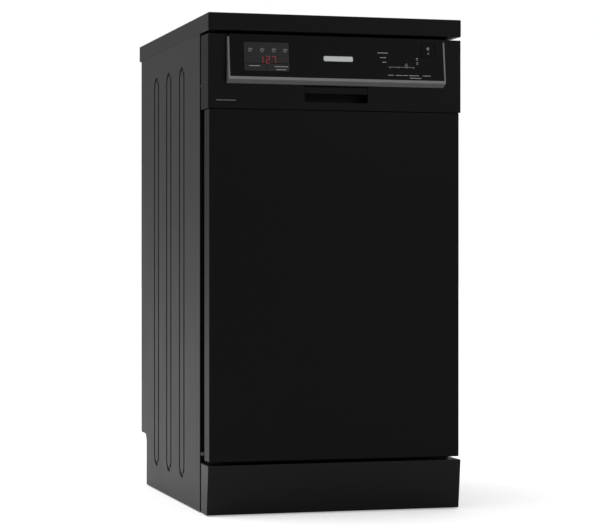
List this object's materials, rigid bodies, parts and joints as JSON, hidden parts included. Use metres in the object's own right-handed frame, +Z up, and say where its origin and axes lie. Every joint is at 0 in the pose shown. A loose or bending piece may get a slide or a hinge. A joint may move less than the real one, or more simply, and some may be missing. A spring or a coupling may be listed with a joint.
{
  "type": "dishwasher",
  "caption": "Free-standing slimline dishwasher with worktop, drop-down door, raised fascia with display, ribbed side panels, stainless tub, racks, spray arms and levelling feet.",
  "frame": {"origin": "on the floor under the middle of the bounding box", "axes": "+X to the right seen from the front, +Y to the rear, +Z up; the door faces -Y"},
  "size_m": [0.45, 0.612, 0.85],
  "materials": {
    "worktop_laminate": "satin black laminate, very fine grain",
    "black_steel": "satin black powder coat",
    "black_moulding": "satin black moulded plastic",
    "silver_trim": "satin silver",
    "window_smoke": "smoked satin gloss",
    "stainless": "rolled stainless steel",
    "zinc_steel": "zinc plated",
    "rack_coating": "grey nylon-coated wire",
    "grey_plastic": "moulded",
    "light_plastic": "moulded",
    "spray_plastic": "moulded",
    "blue_plastic": "moulded",
    "tray_plastic": "moulded",
    "black_rubber": "matt"
  },
  "bodies": {
    "cabinet": {"base_tray": "tray_plastic", "side_panel_left": "black_steel", "side_panel_right": "black_steel", "rear_panel": "zinc_steel", "worktop_board": "worktop_laminate", "worktop_edging": "worktop_laminate", "front_frame": "zinc_steel", "tub": "stainless", "tub_gasket": "black_rubber", "plinth": "black_moulding", "hinge_brackets": "zinc_steel", "sump": "grey_plastic", "filter_plate": "stainless", "circulation_pump": "grey_plastic", "drain_pump": "grey_plastic", "softener_tank": "light_plastic", "inlet_valve": "light_plastic", "drain_spigot": "grey_plastic", "mains_gland": "black_rubber", "air_break_tank": "light_plastic", "feed_pipe": "spray_plastic", "door_springs": "zinc_steel", "rail_guides": "grey_plastic", "cabinet_screws": "zinc_steel"},
    "door": {"door_outer_panel": "black_steel", "door_liner": "stainless", "control_panel": "black_moulding", "fascia_insert": "black_moulding", "silver_trim": "silver_trim", "display_window": "window_smoke", "dispenser_body": "light_plastic", "door_hinge_arms": "zinc_steel"},
    "program_key": {"program_key": "window_smoke"},
    "start_key": {"start_key": "window_smoke"},
    "power_key": {"power_key": "black_moulding"},
    "handle_lever": {"handle_lever": "black_moulding"},
    "latch_hook": {"latch_hook": "zinc_steel"},
    "dispenser_lid": {"dispenser_lid": "light_plastic"},
    "rinse_cap": {"rinse_cap": "blue_plastic"},
    "upper_rails": {"upper_rails": "zinc_steel"},
    "upper_rack": {"upper_rack": "rack_coating", "spray_manifold": "spray_plastic"},
    "lower_rack": {"lower_rack": "rack_coating", "cutlery_basket": "grey_plastic"},
    "lower_wheels_front": {"lower_wheels_front": "grey_plastic"},
    "lower_wheels_rear": {"lower_wheels_rear": "grey_plastic"},
    "upper_wheels_front": {"upper_wheels_front": "grey_plastic"},
    "upper_wheels_rear": {"upper_wheels_rear": "grey_plastic"},
    "lower_spray_arm": {"lower_spray_arm": "spray_plastic"},
    "upper_spray_arm": {"upper_spray_arm": "spray_plastic"},
    "filter_cylinder": {"filter_cylinder": "blue_plastic"},
    "salt_cap": {"salt_cap": "light_plastic"},
    "foot_front_left": {"foot_front_left": "black_rubber"},
    "foot_front_right": {"foot_front_right": "black_rubber"},
    "foot_rear_left": {"foot_rear_left": "black_rubber"},
    "foot_rear_right": {"foot_rear_right": "black_rubber"},
    "fold_tines": {"fold_tines": "rack_coating"},
    "cup_shelf": {"cup_shelf": "rack_coating"},
    "pump_impeller": {"pump_impeller": "light_plastic"},
    "drain_impeller": {"drain_impeller": "light_plastic"}
  },
  "joints": [
    {"name": "door_hinge", "type": "hinge", "parent": "cabinet", "child": "door", "pos_m": [0, -0.274, 0.125], "axis": [1, 0, 0], "range_deg": [0, 90], "deforming": ["door_springs"]},
    {"name": "program_key_press", "type": "slide", "parent": "door", "child": "program_key", "axis": [0, 0.9906, -0.1366], "range_m": [0, 0.0012], "stiffness_N_per_m": 1500},
    {"name": "start_key_press", "type": "slide", "parent": "door", "child": "start_key", "axis": [0, 0.9906, -0.1366], "range_m": [0, 0.0012], "stiffness_N_per_m": 1500},
    {"name": "power_key_press", "type": "slide", "parent": "door", "child": "power_key", "axis": [0, 0.9906, -0.1366], "range_m": [0, 0.0012], "stiffness_N_per_m": 1500},
    {"name": "handle_pull", "type": "hinge", "parent": "door", "child": "handle_lever", "pos_m": [0, -0.281, 0.74], "axis": [-1, 0, 0], "range_deg": [0, 11], "stiffness_Nm_per_rad": 0.6},
    {"name": "latch_lift", "type": "hinge", "parent": "door", "child": "latch_hook", "pos_m": [0, -0.262, 0.8046], "axis": [1, 0, 0], "range_deg": [0, 7]},
    {"name": "dispenser_slide", "type": "slide", "parent": "door", "child": "dispenser_lid", "axis": [0, 0, 1], "range_m": [0, 0.048]},
    {"name": "rinse_cap_turn", "type": "hinge", "parent": "door", "child": "rinse_cap", "pos_m": [0.04, -0.214, 0.485], "axis": [0, 1, 0], "range_deg": [0, 90]},
    {"name": "upper_rail_slide", "type": "slide", "parent": "cabinet", "child": "upper_rails", "axis": [0, -1, 0], "range_m": [0, 0.213]},
    {"name": "upper_rack_slide", "type": "slide", "parent": "cabinet", "child": "upper_rack", "axis": [0, -1, 0], "range_m": [0, 0.425]},
    {"name": "lower_rack_slide", "type": "slide", "parent": "cabinet", "child": "lower_rack", "axis": [0, -1, 0], "range_m": [0, 0.189]},
    {"name": "lower_front_wheel_spin", "type": "hinge", "parent": "lower_rack", "child": "lower_wheels_front", "pos_m": [0, -0.104, 0.2013], "axis": [1, 0, 0], "continuous": true},
    {"name": "lower_rear_wheel_spin", "type": "hinge", "parent": "lower_rack", "child": "lower_wheels_rear", "pos_m": [0, 0.15, 0.2013], "axis": [1, 0, 0], "continuous": true},
    {"name": "upper_front_wheel_spin", "type": "hinge", "parent": "upper_rack", "child": "upper_wheels_front", "pos_m": [0, -0.15, 0.55], "axis": [1, 0, 0], "continuous": true},
    {"name": "upper_rear_wheel_spin", "type": "hinge", "parent": "upper_rack", "child": "upper_wheels_rear", "pos_m": [0, 0.18, 0.55], "axis": [1, 0, 0], "continuous": true},
    {"name": "lower_arm_spin", "type": "hinge", "parent": "cabinet", "child": "lower_spray_arm", "pos_m": [0, 0.017, 0.195], "axis": [0, 0, 1], "continuous": true},
    {"name": "upper_arm_spin", "type": "hinge", "parent": "upper_rack", "child": "upper_spray_arm", "pos_m": [0, 0.017, 0.473], "axis": [0, 0, 1], "continuous": true},
    {"name": "filter_twist", "type": "hinge", "parent": "cabinet", "child": "filter_cylinder", "pos_m": [0, -0.021, 0.15], "axis": [0, 0, 1], "range_deg": [0, 60]},
    {"name": "salt_cap_turn", "type": "hinge", "parent": "cabinet", "child": "salt_cap", "pos_m": [-0.14, 0.13, 0.18], "axis": [0, 0, 1], "range_deg": [0, 90]},
    {"name": "foot_front_left_screw", "type": "slide", "parent": "cabinet", "child": "foot_front_left", "axis": [0, 0, -1], "range_m": [0, 0.02]},
    {"name": "foot_front_right_screw", "type": "slide", "parent": "cabinet", "child": "foot_front_right", "axis": [0, 0, -1], "range_m": [0, 0.02]},
    {"name": "foot_rear_left_screw", "type": "slide", "parent": "cabinet", "child": "foot_rear_left", "axis": [0, 0, -1], "range_m": [0, 0.02]},
    {"name": "foot_rear_right_screw", "type": "slide", "parent": "cabinet", "child": "foot_rear_right", "axis": [0, 0, -1], "range_m": [0, 0.02]},
    {"name": "tine_fold", "type": "hinge", "parent": "lower_rack", "child": "fold_tines", "pos_m": [-0.08, 0.017, 0.246], "axis": [0, -1, 0], "range_deg": [0, 80]},
    {"name": "cup_shelf_fold", "type": "hinge", "parent": "upper_rack", "child": "cup_shelf", "pos_m": [-0.17, 0.017, 0.57], "axis": [0, -1, 0], "range_deg": [0, 85]},
    {"name": "pump_spin", "type": "hinge", "parent": "cabinet", "child": "pump_impeller", "pos_m": [0.09, 0.017, 0.114], "axis": [1, 0, 0], "continuous": true},
    {"name": "drain_pump_spin", "type": "hinge", "parent": "cabinet", "child": "drain_impeller", "pos_m": [-0.095, 0.017, 0.114], "axis": [1, 0, 0], "continuous": true}
  ],
  "couplings": [
    {"joint": "latch_lift", "follows": "handle_pull", "ratio": 0.55},
    {"joint": "upper_rail_slide", "follows": "door_hinge", "m_per_rad": 0.135},
    {"joint": "upper_rack_slide", "follows": "door_hinge", "m_per_rad": 0.27},
    {"joint": "lower_rack_slide", "follows": "door_hinge", "m_per_rad": 0.12},
    {"joint": "lower_front_wheel_spin", "follows": "door_hinge", "ratio": 8.5714},
    {"joint": "lower_rear_wheel_spin", "follows": "door_hinge", "ratio": 8.5714},
    {"joint": "upper_front_wheel_spin", "follows": "door_hinge", "ratio": 16.875},
    {"joint": "upper_rear_wheel_spin", "follows": "door_hinge", "ratio": 16.875}
  ]
}
